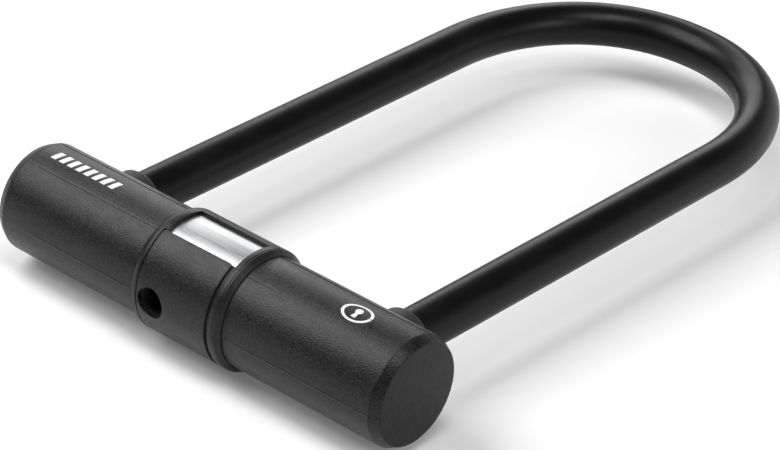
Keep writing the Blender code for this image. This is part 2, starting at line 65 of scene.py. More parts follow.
def middle(pair):
    return (pair[0] + pair[1]) / 2


def half(pair):
    return (pair[1] - pair[0]) / 2


# The crossbar's axis and the main sizes, read from the frame
BAR_Y = middle(span("crossbar_tube", 1))
BAR_Z = middle(span("crossbar_tube", 2))
COVER_RADIUS = half(span("left_cover", 2))
COLLAR_RADIUS = half(span("collar_frame", 2))
SLEEVE_RADIUS = half(span("shackle_sleeve", 2))
ROD_RADIUS = half(span("shackle_rod", 2))
LEG_X = span("shackle_sleeve", 0)[1] - SLEEVE_RADIUS
REACH = span("shackle_sleeve", 1)[1] - SLEEVE_RADIUS - BAR_Y
SLEEVE_END = span("shackle_sleeve", 1)[0] - BAR_Y
FOOT = span("shackle_rod", 1)[0] - BAR_Y

# Shackle
SLEEVE_WALL = 1.25
SLEEVE_LIP = 0.4
BEND_DEPTH = 68.6
BEND_POWER = 2.09
BEND_SEGMENTS = 120
SLEEVE_SIDES = 72
SLEEVE_NOSE = [(0.0, 0.5), (0.12, 0.2), (0.35, 0.05), (1.0, 0.0)]
SLEEVE_MOUTH = 0.9
ROD_SIDES = 64
ROD_NOSE = [(0.0, 1.5), (0.25, 0.9), (0.8, 0.3), (1.5, 0.0)]
NOTCH_SOFTNESS = 0.25
NOTCH_FLOOR = LEG_X - ROD_RADIUS + 6.0
NOTCH_Y = 7.74
NOTCH_HALF = 3.8

# Covers, and the moulded lines that run along them
COVER_BORE = 17.1
BORE_MARGIN = 0.5
LEG_HOLE = 10.6
LINE_A = -3.0
LINE_B = 63.8
LINE_C_LEFT = 110.8
LINE_C_RIGHT = 112.6
RIDGE_ENDS = (-66.0, -22.0)
SHORT_LINE_END = 29.0
LINE_FADE = 0.3
COVER_GAP = 0.04
LEFT_RIDGE = (1.1, 0.16)
RIGHT_RIDGE = (1.0, 0.12)
SIDE_GROOVE = (1.0, -0.085)
FINE_GROOVE = (0.5, -0.12)
SHUTTER_GROOVE = (0.5, -0.05)
LEDGE_WIDTH = 1.4
LEFT_LEDGE = (LEDGE_WIDTH, 0.2)
RIGHT_LEDGE = (LEDGE_WIDTH, 0.24)
CROSSING_LEDGE = (LEDGE_WIDTH, 0.15)
LEDGE_WALL = 0.015
LINE_OFFSETS = [0.0, 0.02, 0.12, 0.22, 0.32, 0.45, 0.6, 0.8]
LINE_CLEARANCE = 1.3
TURN_STEP = 2.5

# Collar
WINDOW_LEFT = -17.1
WINDOW_RIGHT = 14.5
WINDOW_TOP = 107.8
WINDOW_BOTTOM = -144.0
WINDOW_TAB = -15.3
TAB_ANGLE = 65.2
RAIL_BORE = 20.4
LEFT_SHOULDER = -18.4
RIGHT_SHOULDER = 17.2
FLANGE_END_RADIUS = 19.62
CREST_GROOVE = 0.14
COLLAR_SOFTNESS = 0.18
SHUTTER_TOP = 64.3
SHUTTER_BOTTOM = -107.0
SHUTTER_CORNER = 1.0
SHUTTER_SOFTNESS = 0.14
CORNER_STEPS = (0, 0.04, 0.12, 0.25, 0.42, 0.65, 1)
# Painted shade: a dark plastic skirt from the shutter's right edge fills the groove by the right
# flange, so that the groove shows dark, as its shade does.
SHADE_SKIRT_RADIUS = 20.55
SHADE_SKIRT_WIDTH = 1.25

# Keyhole
KEYHOLE_RADIUS = 5.4
BAND_HOLE_RADIUS = 6.3
LINER_RADIUS = 6.0
KEY_X = -10.75
KEY_ANGLE = -3.0
KEYHOLE_CLEARANCE = 6.5
LINER_REAR = 15.5
LINER_FRONT = 19.1

# End caps and leg seals
CAP_FACE_RADIUS = 17.6
CAP_FACE_TILT = 0.9
RIM_MARGIN = 1.0
CAP_START = 80.3
CAP_STUB_RADIUS = 6.0
CAP_STUB_END = 75.8
SEAL_RADIUS = 10.3
SEAL_BORE = 8.35
SEAL_SHOULDER = 22.3
SEAL_LIP = 24.2
SEAL_LIP_RADIUS = 8.9
SEAL_SEAT = 0.02

# Printed marks
INK_TOP = 0.04
INK_BOTTOM = 0.03
BAR_COUNT = 8
BAR_START = -74.6
BAR_PITCH = 3.75
BAR_WIDTH = 2.2
BAR_LEAN = 0.9
BAR_ANGLE = 79.5
BAR_TURN = 13.0
BAR_STEPS = 8
SIGN_X = 58.9
SIGN_ANGLE = 84.5
RING_RADII = (3.5, 4.3)
RING_STRETCH = 1.35
RING_SIDES = 48
HEAD_RADII = (0.02, 0.7, 1.35)
HEAD_LIFT = 0.9
HEAD_SIDES = 32
SLOT_STEPS = 5
SLOT_TOP = 0.2
SLOT_LENGTH = 2.6
SLOT_HALF_WIDTH = 0.45
SLOT_FLARE = 0.5

# Studio
FLOOR_HALF = 6.0
# The floor's glow is painted light: it lifts the shadows on the floor and fades out far behind
# the lock.
FLOOR_GLOW = 0.12
GLOW_NEAR = 250.0
GLOW_FAR = 400.0
GLOW_SLANT = 0.9
WORLD_BASE = 0.08
BAND_HEIGHTS = (0.1, 0.62)
BAND_SIDES = (0.2, 1.2)

# Lights: name, direction they shine from, distance and size in metres, and radiance
SOFTBOXES = [
    ("key_softbox", (-0.533, -0.354, 0.768), 1.55, (0.9, 1.15), 6.4),
    ("back_softbox", (-0.665, 0.62, 0.415), 1.578, (0.75, 1.1), 2.9),
    ("floor_softbox", (0.22, -0.22, 0.94), 1.5, (0.75, 0.5), 8.2),
    ("side_softbox", (0.85, -0.05, 0.5), 1.5, (0.6, 0.6), 3.8),
    ("left_softbox", (-0.94, 0.22, 0.22), 1.5, (0.35, 0.8), 1.2),
]

# Camera: millimetres and degrees
SENSOR = 36.0
LENS = 162.38
CAMERA_AZIMUTH = 38.545
CAMERA_ELEVATION = 30.134
CAMERA_ROLL = 4.777
CAMERA_BACK = 1129.174
CAMERA_RIGHT = 54.541
CAMERA_UP = 20.931
CLIP_NEAR = 0.01
CLIP_FAR = 50.0

CENTRE = Vector((0, BAR_Y, BAR_Z))


def bar_point(x, angle, radius):
    """Point at a distance from the crossbar's axis, in metres."""
    turn = math.radians(angle)
    return (CENTRE + Vector((x, -radius * math.cos(turn), radius * math.sin(turn)))) * MM


def rounded(profile, steps=4):
    """Round the corners of a profile of (radius, place, fillet) points."""
    made = []
    for i, (radius, place, fillet) in enumerate(profile):
        here = Vector((radius, place))
        if not fillet:
            made.append((radius, place))
            continue
        before = Vector(profile[i - 1][:2]) - here
        after = Vector(profile[(i + 1) % len(profile)][:2]) - here
        reach = min(fillet, 0.48 * before.length, 0.48 * after.length)
        start = here + before.normalized() * reach
        end = here + after.normalized() * reach
        for step in range(steps + 1):
            t = step / steps
            point = start * (1 - t) ** 2 + here * 2 * t * (1 - t) + end * t * t
            made.append((point.x, point.y))
    return made


def mesh_of_rows(name, rows, ring_rows):
    """Join rows of points round an axis with quads. A row of one point is a pole."""
    mesh = bpy.data.meshes.new(name)
    solid = bmesh.new()
    made = [[solid.verts.new(point) for point in row] for row in rows]
    count = max(len(row) for row in made)
    pairs = list(zip(made, made[1:]))
    if ring_rows:
        pairs.append((made[-1], made[0]))
    for near, far in pairs:
        for i in range(count):
            k = (i + 1) % count
            corners = [near[i % len(near)], near[k % len(near)]]
            corners += [far[k % len(far)], far[i % len(far)]]
            unique = list(dict.fromkeys(corners))
            if len(unique) > 2:
                solid.faces.new(unique)
    bmesh.ops.recalc_face_normals(solid, faces=solid.faces)
    solid.to_mesh(mesh)
    solid.free()
    return mesh


def add(name, mesh, material=None):
    """Put a mesh in the scene, with one material or none."""
    piece = bpy.data.objects.new(name, mesh)
    bpy.context.scene.collection.objects.link(piece)
    if material:
        mesh.materials.append(material)
    return piece


def turned(name, profile, angles, place, relief=None):
    """Turn a profile of (radius, place) points, with an optional relief that lifts the skin."""
    rows = []
    for radius, where in profile:
        if radius == 0:
            rows.append([place(where, 0, 0)])
            continue
        lift = relief or (lambda *_: 0)
        rows.append([place(where, a, radius + lift(radius, where, a)) for a in angles])
    ring = profile[0][0] > 0
    return mesh_of_rows(name, rows, ring)


def apply_modifiers(piece):
    """Bake a piece's modifiers into its mesh."""
    bpy.context.view_layer.update()
    evaluated = piece.evaluated_get(bpy.context.evaluated_depsgraph_get())
    made = bpy.data.meshes.new_from_object(evaluated)
    old = piece.data
    piece.modifiers.clear()
    piece.data = made
    bpy.data.meshes.remove(old)


def cut(piece, *cutter_meshes):
    """Subtract cutter meshes from a piece."""
    cutters = [add(mesh.name, mesh) for mesh in cutter_meshes]
    for cutter in cutters:
        step = piece.modifiers.new("Cut", "BOOLEAN")
        step.operation = "DIFFERENCE"
        step.solver = "EXACT"
        step.object = cutter
    apply_modifiers(piece)
    for cutter in cutters:
        mesh = cutter.data
        bpy.data.objects.remove(cutter)
        bpy.data.meshes.remove(mesh)


def soften(piece, width, segments=2, limit=40):
    """Bevel the sharp edges that a cut has left."""
    step = piece.modifiers.new("Soften", "BEVEL")
    step.width = width * MM
    step.segments = segments
    step.limit_method = "ANGLE"
    step.angle_limit = math.radians(limit)
    step.harden_normals = False
    apply_modifiers(piece)


def finish_piece(piece, body, nodes, sharp=32):
    """Shade a piece smooth up to its sharp edges and tie it to the frame."""
    piece.data.shade_smooth()
    piece.data.set_sharp_from_angle(angle=math.radians(sharp))
    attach(piece, body)
    if nodes:
        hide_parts(*nodes)


def even_angles(step):
    return [step * i for i in range(round(360 / step))]


def angles_with_lines(lines, radius):
    """Even angles, with closer ones beside each moulded line."""
    close = set()
    for line in lines:
        for offset in LINE_OFFSETS:
            shift = math.degrees(offset / radius)
            close.add(round((line + shift) % 360, 4))
            close.add(round((line - shift) % 360, 4))
    window = math.degrees(LINE_CLEARANCE / radius)
    kept = []
    for angle in even_angles(TURN_STEP):
        gaps = [abs((angle - line + 180) % 360 - 180) for line in lines]
        if min(gaps) > window:
            kept.append(float(angle))
    return sorted(kept + list(close))


def key_point(place, angle, radius):
    """Point round the key's axis, which leaves the crossbar a little below level."""
    turn, lean = math.radians(angle), math.radians(KEY_ANGLE)
    out = Vector((0, -math.cos(lean), math.sin(lean)))
    up = Vector((0, math.sin(lean), math.cos(lean)))
    side = Vector((1, 0, 0))
    offset = out * place + side * radius * math.cos(turn) + up * radius * math.sin(turn)
    return (CENTRE + Vector((KEY_X, 0, 0)) + offset) * MM


def leg_point(side):
    """Points round one leg's axis, with places measured from the crossbar's axis."""
    def place(where, angle, radius):
        turn = math.radians(angle)
        offset = Vector((radius * math.cos(turn), where, radius * math.sin(turn)))
        return (CENTRE + Vector((side * LEG_X, 0, 0)) + offset) * MM
    return place


def drum(name, radius, low, high, place):
    """Round cutter."""
    profile = [(0, low), (radius, low), (radius, high), (0, high)]
    return turned(name, profile, even_angles(3), place)


# ---------------------------------------------------------------- materials


class Look:
    """A procedural material under construction, with its coordinates in millimetres."""

    def __init__(self, name, roughness, metallic=0.0, specular=0.5):
        self.material = bpy.data.materials.new(name)
        self.material.use_nodes = True
        self.tree = self.material.node_tree
        self.shader = self.tree.nodes["Principled BSDF"]
        self.shader.inputs["Metallic"].default_value = metallic
        self.shader.inputs["Roughness"].default_value = roughness
        self.shader.inputs["Specular IOR Level"].default_value = specular
        coordinates = self.tree.nodes.new("ShaderNodeTexCoord")
        self.place = self.scaled(coordinates.outputs["Object"], (1000, 1000, 1000))
        self.normal = None

    def link(self, source, target):
        self.tree.links.new(source, target)

    def scaled(self, vector, scale):
        node = self.tree.nodes.new("ShaderNodeMapping")
        node.inputs["Scale"].default_value = scale
        self.link(vector, node.inputs["Vector"])
        return node.outputs["Vector"]

    def noise(self, size, detail=3.0, stretch=(1, 1, 1), rough=0.55):
        """Noise with features of about the given size, in millimetres."""
        scale = tuple(1 / (size * s) for s in stretch)
        node = self.tree.nodes.new("ShaderNodeTexNoise")
        node.inputs["Scale"].default_value = 1.0
        node.inputs["Detail"].default_value = detail
        node.inputs["Roughness"].default_value = rough
        self.link(self.scaled(self.place, scale), node.inputs["Vector"])
        return node.outputs["Fac"]

    def cells(self, size):
        """Distance to the nearest point of a scattered set."""
        scale = (1 / size, 1 / size, 1 / size)
        node = self.tree.nodes.new("ShaderNodeTexVoronoi")
        node.inputs["Scale"].default_value = 1.0
        self.link(self.scaled(self.place, scale), node.inputs["Vector"])
        return node.outputs["Distance"]

    def math(self, operation, first, second):
        node = self.tree.nodes.new("ShaderNodeMath")
        node.operation = operation
        for socket, value in zip(node.inputs, (first, second)):
            if isinstance(value, (int, float)):
                socket.default_value = value
            else:
                self.link(value, socket)
        return node.outputs["Value"]

    def remap(self, value, low, high, new_low, new_high, smooth=False):
        node = self.tree.nodes.new("ShaderNodeMapRange")
        if smooth:
            node.interpolation_type = "SMOOTHSTEP"
        node.inputs["From Min"].default_value = low
        node.inputs["From Max"].default_value = high
        node.inputs["To Min"].default_value = new_low
        node.inputs["To Max"].default_value = new_high
        self.link(value, node.inputs["Value"])
        return node.outputs["Result"]

    def blend(self, factor, first, second):
        """Colour between two colours."""
        node = self.tree.nodes.new("ShaderNodeMix")
        node.data_type = "RGBA"
        self.link(factor, node.inputs["Factor"])
        for socket, value in ((node.inputs["A"], first), (node.inputs["B"], second)):
            if isinstance(value, tuple):
                socket.default_value = (*value, 1.0)
            else:
                self.link(value, socket)
        return node.outputs["Result"]

    def split(self):
        """The three coordinates, in millimetres."""
        node = self.tree.nodes.new("ShaderNodeSeparateXYZ")
        self.link(self.place, node.inputs["Vector"])
        return node.outputs["X"], node.outputs["Y"], node.outputs["Z"]

    def bump(self, height, depth):
        """Add a height field, in millimetres of depth."""
        node = self.tree.nodes.new("ShaderNodeBump")
        node.inputs["Strength"].default_value = 1.0
        node.inputs["Distance"].default_value = depth * MM
        self.link(height, node.inputs["Height"])
        if self.normal:
            self.link(self.normal, node.inputs["Normal"])
        self.normal = node.outputs["Normal"]

    def mixed(self, *parts):
        """Weighted sum of (value, weight) parts."""
        shares = [self.math("MULTIPLY", value, weight) for value, weight in parts]
        total = shares[0]
        for share in shares[1:]:
            total = self.math("ADD", total, share)
        return total

    def varied(self, base, value, low, high, fall, rise):
        """A base number, or value, with a texture's swing added to it."""
        return self.math("ADD", self.remap(value, low, high, fall, rise), base)

    def done(self, colour, roughness):
        self.link(colour, self.shader.inputs["Base Color"])
        self.link(roughness, self.shader.inputs["Roughness"])
        self.link(self.normal, self.shader.inputs["Normal"])
        return self.material


def grained_plastic(name, roughness, grain, depth, specular, dark, light, painted_glint):
    """Moulded plastic with a fine grain, painted glints and broad, faint changes of tone. The
    painted glints are lighter specks blended into the colour, standing in for highlights
    sparkling on the grain.
    """
    look = Look(name, roughness, specular=specular)
    fine = look.noise(grain, 1.0, rough=0.5)
    pits = look.cells(grain * 1.3)
    broad = look.noise(14.0, 3.0)
    scuff = look.noise(2.2, 4.0, stretch=(3, 1, 1))
    tone = look.mixed((fine, 0.55), (broad, 0.45))
    colour = look.blend(look.remap(tone, 0.36, 0.64, 0, 1), dark, light)
    # Painted glints: lighter specks in the base colour that stand in for highlights sparkling on
    # the grain.
    painted_glint_spots = look.noise(grain, 0.0)
    colour = look.blend(look.remap(painted_glint_spots, 0.5, 0.75, 0, 1), colour, painted_glint)
    look.bump(fine, depth)
    look.bump(pits, depth * 0.35)
    shine = look.varied(roughness, fine, 0.35, 0.7, -0.07, 0.07)
    shine = look.varied(shine, scuff, 0.35, 0.7, -0.04, 0.05)
    return look.done(colour, shine)


def vinyl():
    """Satin black vinyl, almost smooth, with faint draw marks and dust-like flecks."""
    dark, light = (0.0022, 0.0022, 0.0024), (0.0036, 0.0036, 0.0038)
    dust = (0.012, 0.012, 0.0125)
    roughness = 0.34
    look = Look("shackle_vinyl_look", roughness, specular=0.2)
    skin = look.noise(1.1, 3.0)
    broad = look.noise(22.0, 2.0)
    scuff = look.noise(0.35, 2.0, rough=0.7)
    colour = look.blend(look.remap(broad, 0.35, 0.65, 0, 1), dark, light)
    fleck = look.remap(scuff, 0.68, 0.76, 0, 1)
    colour = look.blend(look.math("MULTIPLY", fleck, 0.35), colour, dust)
    look.bump(skin, 0.012)
    look.bump(scuff, 0.006)
    shine = look.varied(roughness, skin, 0.35, 0.65, -0.04, 0.05)
    shine = look.varied(shine, broad, 0.35, 0.65, -0.02, 0.03)
    return look.done(colour, shine)


def brushed(name, dark, light, roughness):
    """Sheet steel brushed along X: long fine scratches over softer bands."""
    look = Look(name, roughness, metallic=1.0)
    hair = look.noise(0.16, 3.0, stretch=(90, 1, 1), rough=0.65)
    band = look.noise(1.3, 3.0, stretch=(26, 1, 1), rough=0.6)
    cloud = look.noise(6.0, 2.0, stretch=(3, 1, 1))
    tone = look.mixed((hair, 0.45), (band, 0.4), (cloud, 0.15))
    colour = look.blend(look.remap(tone, 0.38, 0.62, 0, 1), dark, light)
    look.bump(hair, 0.006)
    look.bump(band, 0.004)
    shine = look.varied(roughness, hair, 0.35, 0.65, -0.07, 0.09)
    return look.done(colour, shine)


def ground_steel():
    """Hardened steel with a fine ground grain and a few darker heat clouds."""
    dark, light = (0.33, 0.34, 0.35), (0.47, 0.475, 0.48)
    roughness = 0.3
    look = Look("hardened_steel_look", roughness, metallic=1.0)
    grind = look.noise(0.14, 3.0, stretch=(1, 14, 1), rough=0.65)
    cloud = look.noise(5.0, 3.0)
    pit = look.cells(0.5)
    colour = look.blend(look.remap(cloud, 0.35, 0.65, 0, 1), dark, light)
    look.bump(grind, 0.006)
    look.bump(pit, 0.003)
    shine = look.varied(roughness, grind, 0.35, 0.65, -0.08, 0.1)
    return look.done(colour, shine)


def rubber():
    """Matt black rubber with a soft, dusty surface."""
    dark, light = (0.011, 0.011, 0.0115), (0.021, 0.021, 0.022)
    roughness = 0.55
    look = Look("black_rubber_look", roughness, specular=0.4)
    dust = look.noise(0.4, 4.0, rough=0.7)
    broad = look.noise(5.0, 3.0)
    tone = look.mixed((dust, 0.5), (broad, 0.5))
    colour = look.blend(look.remap(tone, 0.38, 0.64, 0, 1), dark, light)
    look.bump(dust, 0.012)
    shine = look.varied(roughness, dust, 0.3, 0.7, -0.07, 0.09)
    return look.done(colour, shine)


def cast_zinc():
    """Die-cast zinc: a pebbled skin with dull spots."""
    dark, light = (0.27, 0.275, 0.285), (0.42, 0.425, 0.435)
    roughness = 0.47
    look = Look("cast_zinc_look", roughness, metallic=1.0)
    skin = look.cells(0.8)
    spot = look.noise(2.5, 4.0)
    colour = look.blend(look.remap(spot, 0.35, 0.65, 0, 1), dark, light)
    look.bump(skin, 0.03)
    shine = look.varied(roughness, spot, 0.35, 0.65, -0.1, 0.12)
    return look.done(colour, shine)


def machined_brass():
    """Machined brass with fine tool marks and a trace of tarnish."""
    clean, dull = (0.64, 0.47, 0.2), (0.43, 0.29, 0.12)
    roughness = 0.3
    look = Look("lock_brass_look", roughness, metallic=1.0)
    marks = look.noise(0.12, 2.0, stretch=(1, 10, 1), rough=0.6)
    tarnish = look.noise(2.8, 4.0)
    colour = look.blend(look.remap(tarnish, 0.35, 0.68, 0, 1), clean, dull)
    look.bump(marks, 0.006)
    shine = look.varied(roughness, tarnish, 0.3, 0.7, -0.05, 0.14)
    return look.done(colour, shine)


def blackened_steel():
    """Oil-blackened steel: nearly black, with fine turning marks and a few worn specks. Its
    near-black is partly painted shade, keeping what shows through the keyhole as dark as the
    keyhole's shaded inside.
    """
    dark, light = (0.008, 0.008, 0.009), (0.035, 0.035, 0.037)
    roughness = 0.5
    look = Look("blackened_steel_shade_look", roughness, metallic=1.0)
    marks = look.noise(0.15, 2.0, stretch=(1, 8, 1), rough=0.6)
    wear = look.noise(0.8, 4.0, rough=0.65)
    colour = look.blend(look.remap(wear, 0.4, 0.72, 0, 1), dark, light)
    look.bump(marks, 0.02)
    shine = look.varied(roughness, marks, 0.3, 0.7, -0.08, 0.1)
    return look.done(colour, shine)


def print_ink():
    """White screen-printed ink with slightly uneven cover."""
    thin, full = (0.6, 0.6, 0.6), (0.8, 0.8, 0.8)
    roughness = 0.48
    look = Look("print_ink_look", roughness, specular=0.4)
    cover = look.noise(0.3, 3.0, rough=0.7)
    colour = look.blend(look.remap(cover, 0.35, 0.6, 0, 1), thin, full)
    look.bump(cover, 0.01)
    shine = look.varied(roughness, cover, 0.3, 0.7, -0.05, 0.08)
    return look.done(colour, shine)


def floor_look():
    """Pale, nearly even studio floor that glows a little of itself: painted light that lifts the
    shadows on it, fading out far behind the lock.
    """
    dark, light = (0.74, 0.74, 0.74), (0.76, 0.76, 0.76)
    look = Look("studio_floor_look", 0.8, specular=0.1)
    broad = look.noise(180.0, 2.0)
    fine = look.noise(1.5, 2.0)
    colour = look.blend(look.remap(broad, 0.3, 0.7, 0, 1), dark, light)
    look.bump(fine, 0.01)
    # Painted light: the floor emits a faint glow that lifts its shadows, fading out with
    # distance behind the lock.
    look.shader.inputs["Emission Color"].default_value = (1, 1, 1, 1)
    across, along, _ = look.split()
    behind = look.math("SUBTRACT", along, look.math("MULTIPLY", across, GLOW_SLANT))
    fade = look.remap(behind, GLOW_NEAR, GLOW_FAR, FLOOR_GLOW, 0.0, True)
    look.link(fade, look.shader.inputs["Emission Strength"])
    return look.done(colour, look.remap(fine, 0.3, 0.7, 0.78, 0.85))


GREY = ((0.006, 0.0062, 0.0066), (0.011, 0.0113, 0.0118))
SOFT_GREY = ((0.006, 0.0062, 0.0066), (0.010, 0.0103, 0.0107))
DEEP_GREY = ((0.005, 0.0052, 0.0056), (0.009, 0.0093, 0.0097))

VINYL = vinyl()
# Painted glint colours, one for each plastic: lighter specks in the colour that stand in for
# sparkling highlights.
COVER_PAINTED_GLINT = (0.03, 0.03, 0.031)
COLLAR_PAINTED_GLINT = (0.02, 0.02, 0.021)
SHUTTER_PAINTED_GLINT = (0.028, 0.028, 0.029)
CAP_PAINTED_GLINT = (0.024, 0.024, 0.025)
RIM_PAINTED_GLINT = (0.026, 0.026, 0.027)
COVER = grained_plastic("cover_plastic_look", 0.36, 0.38, 0.1, 0.27, *GREY, COVER_PAINTED_GLINT)
COLLAR = grained_plastic("collar_plastic_look", 0.38, 0.38, 0.05, 0.27, *SOFT_GREY, COLLAR_PAINTED_GLINT)
SHUTTER = grained_plastic("shutter_plastic_look", 0.36, 0.38, 0.09, 0.27, *GREY, SHUTTER_PAINTED_GLINT)
CAP = grained_plastic("cap_plastic_look", 0.42, 0.45, 0.09, 0.17, *DEEP_GREY, CAP_PAINTED_GLINT)
CAP_RIM = grained_plastic("cap_rim_look", 0.33, 0.38, 0.1, 0.24, *DEEP_GREY, RIM_PAINTED_GLINT)
STAINLESS = brushed("brushed_stainless_look", (0.42, 0.425, 0.43), (0.56, 0.565, 0.57), 0.38)
STEEL = ground_steel()
RUBBER = rubber()
ZINC = cast_zinc()
BRASS = machined_brass()
# Partly painted shade: near-black steel for the parts behind the keyhole, so that the keyhole
# shows dark, as its shaded inside does.
BLACK_STEEL_FOR_SHADE = blackened_steel()
INK = print_ink()

# ---------------------------------------------------------------- shackle


def bend_points():
    """Centre line of the shackle's bend, from the right leg round to the left one."""
    start = REACH - BEND_DEPTH
    points = []
    for i in range(BEND_SEGMENTS + 1):
        turn = math.pi * i / BEND_SEGMENTS
        across, along = math.cos(turn), math.sin(turn)
        x = LEG_X * math.copysign(abs(across) ** (2 / BEND_POWER), across)
        points.append(Vector((x, start + BEND_DEPTH * abs(along) ** (2 / BEND_POWER), 0)))
    return points


def swept_ring(points, i, radius, sides):
    """Ring of points round the i-th point of a level route."""
    before, after = points[max(i - 1, 0)], points[min(i + 1, len(points) - 1)]
    along = (after - before).normalized()
    out = along.cross(Vector((0, 0, 1)))
    ring = []
    for side in range(sides):
        turn = math.tau * side / sides
        offset = out * radius * math.cos(turn) + Vector((0, 0, radius * math.sin(turn)))
        ring.append((CENTRE + points[i] + offset) * MM)
    return ring


def shackle_route(start, nose):
    """Route from one foot round to the other, and how far the skin drops along it."""
    bend = bend_points()
    right = [Vector((LEG_X, start + along, 0)) for along, _ in nose]
    left = [Vector((-LEG_X, start + along, 0)) for along, _ in reversed(nose)]
    drops = [drop for _, drop in nose] + [0.0] * len(bend) + [drop for _, drop in reversed(nose)]
    return right + bend + left, drops


def build_sleeve():
    """Vinyl sleeve, hollow, with soft lips where it enters the crossbar."""
    route, drops = shackle_route(SLEEVE_END, [(SLEEVE_LIP * a, d) for a, d in SLEEVE_NOSE])
    rows = []
    for i, drop in enumerate(drops):
        rows.append(swept_ring(route, i, SLEEVE_RADIUS - SLEEVE_WALL * drop, SLEEVE_SIDES))
    inner = SLEEVE_RADIUS - SLEEVE_WALL
    for i in reversed(range(len(route))):
        radius = inner + SLEEVE_WALL * drops[i] * SLEEVE_MOUTH
        rows.append(swept_ring(route, i, radius, SLEEVE_SIDES))
    sleeve = add("sleeve_skin", mesh_of_rows("sleeve_skin", rows, True), VINYL)
    finish_piece(sleeve, "shackle", ["shackle_sleeve"], 60)


def box_mesh(name, low, high):
    solid = bmesh.new()
    bmesh.ops.create_cube(solid, size=1.0)
    size = Vector(high) - Vector(low)
    where = CENTRE + (Vector(low) + Vector(high)) / 2
    bmesh.ops.scale(solid, vec=size * MM, verts=solid.verts)
    bmesh.ops.translate(solid, vec=where * MM, verts=solid.verts)
    mesh = bpy.data.meshes.new(name)
    solid.to_mesh(mesh)
    solid.free()
    return mesh


def build_rod():
    """Steel rod inside the sleeve, with rounded feet and the notches that the bolts enter."""
    route, drops = shackle_route(FOOT, ROD_NOSE)
    rows = [[(CENTRE + route[0]) * MM]]
    for i, drop in enumerate(drops):
        rows.append(swept_ring(route, i, ROD_RADIUS - drop, ROD_SIDES))
    rows.append([(CENTRE + route[-1]) * MM])
    rod = add("rod_skin", mesh_of_rows("rod_skin", rows, False), STEEL)
    cutters = []
    for side in (-1, 1):
        near, far = sorted((side * NOTCH_FLOOR, side * (LEG_X - 3 * ROD_RADIUS)))
        low = (near, NOTCH_Y - NOTCH_HALF, -2 * ROD_RADIUS)
        high = (far, NOTCH_Y + NOTCH_HALF, 2 * ROD_RADIUS)
        cutters.append(box_mesh(f"notch_cutter_{side}", low, high))
    cut(rod, *cutters)
    soften(rod, NOTCH_SOFTNESS)
    finish_piece(rod, "shackle", ["shackle_rod"])


# ---------------------------------------------------------------- crossbar


def bump_at(angle, line, radius, width, height):
    """Smooth ridge, or groove where the height is below zero, across one moulded line."""
    gap = abs((angle - line + 180) % 360 - 180)
    across = math.radians(gap) * radius / (width / 2)
    if across >= 1:
        return 0.0
    return height * (1 - across * across) ** 2


def ledge_at(angle, line, radius, width, depth):
    """Slope that dips towards a line and steps back up beyond it, over a thin wall."""
    gap = (angle - line + 180) % 360 - 180
    across = math.radians(gap) * radius
    if across <= -width or across >= LEDGE_WALL:
        return 0.0
    if across > 0:
        return -depth * (1 - across / LEDGE_WALL)
    return -depth * (1 + across / width) ** 2


def cover_lines(side):
    """Mould lines of one cover: angle, the stretch of crossbar they follow, kind and size."""
    if side < 0:
        return [
            (LINE_A, *RIDGE_ENDS, bump_at, LEFT_RIDGE),
            (LINE_B, -CAP_START, 0.0, bump_at, SIDE_GROOVE),
            (LINE_C_LEFT, -CAP_START, 0.0, ledge_at, LEFT_LEDGE),
        ]
    return [
        (LINE_A, 0.0, CAP_START, bump_at, RIGHT_RIDGE),
        (LINE_B, 0.0, SHORT_LINE_END, bump_at, SIDE_GROOVE),
        (LINE_C_RIGHT, 0.0, CAP_START, ledge_at, RIGHT_LEDGE),
    ]


def build_cover(side, name, node):
    """Moulded cover with rounded ends, mould lines and a hole for the leg."""
    flange = span("collar_frame", 0)[side > 0]
    inner, outer = flange + side * COVER_GAP, side * (CAP_START - COVER_GAP)
    lines = cover_lines(side)

    def relief(radius, where, angle):
        if radius < COVER_BORE + BORE_MARGIN:
            return 0.0
        lift = 0.0
        for line, start, end, shape, size in lines:
            if start < where < end:
                lift += shape(angle, line, radius, *size)
        return lift

    ends = {end for line in lines for end in line[1:3] if abs(inner) < abs(end) < abs(outer)}
    fades = {end + shift for end in ends for shift in (-LINE_FADE, LINE_FADE)}
    stations = sorted(fades, key=abs)[::-1]
    profile = rounded([
        (COVER_RADIUS, outer, 0.2),
        *[(COVER_RADIUS, x, 0.0) for x in stations],
        (COVER_RADIUS, inner, 0.25),
        (COVER_BORE, inner, 0.2),
        (COVER_BORE, outer, 0.2),
    ])
    angles = angles_with_lines([line[0] for line in lines], COVER_RADIUS)
    mesh = turned(name, profile, angles, bar_point, relief)
    cover = add(name, mesh, COVER)
    cut(cover, drum("leg_cutter", LEG_HOLE, 0, 3 * COVER_RADIUS, leg_point(side)))
    finish_piece(cover, "crossbar", [node])


def build_seal(side, name, node):
    """Rubber ring round a leg: a flat collar with a rounded, sloping lip."""
    profile = rounded([
        (SEAL_RADIUS, 0.0, 0.0),
        (SEAL_RADIUS, SEAL_SHOULDER, 0.5),
        (SEAL_LIP_RADIUS, SEAL_LIP, 0.35),
        (SEAL_BORE, SEAL_LIP, 0.25),
        (SEAL_BORE, 0.0, 0.0),
    ], 5)
    place = leg_point(side)

    def seated(where, angle, radius):
        if where > 0:
            return place(where, angle, radius)
        drop = radius * math.sin(math.radians(angle))
        return place(math.sqrt(COVER_BORE**2 - drop**2) + SEAL_SEAT, angle, radius)

    mesh = turned(name, profile, even_angles(3), seated)
    seal = add(name, mesh, RUBBER)
    finish_piece(seal, "crossbar", [node], 50)


def collar_relief(radius, where, angle):
    """The covers' mould lines, carried across the right flange."""
    if radius < COVER_BORE + BORE_MARGIN or where <= WINDOW_RIGHT:
        return 0.0
    lift = bump_at(angle, LINE_A, radius, *FINE_GROOVE)
    lift += bump_at(angle, LINE_B, radius, *SIDE_GROOVE)
    lift += ledge_at(angle, LINE_C_RIGHT, radius, *CROSSING_LEDGE)
    return lift


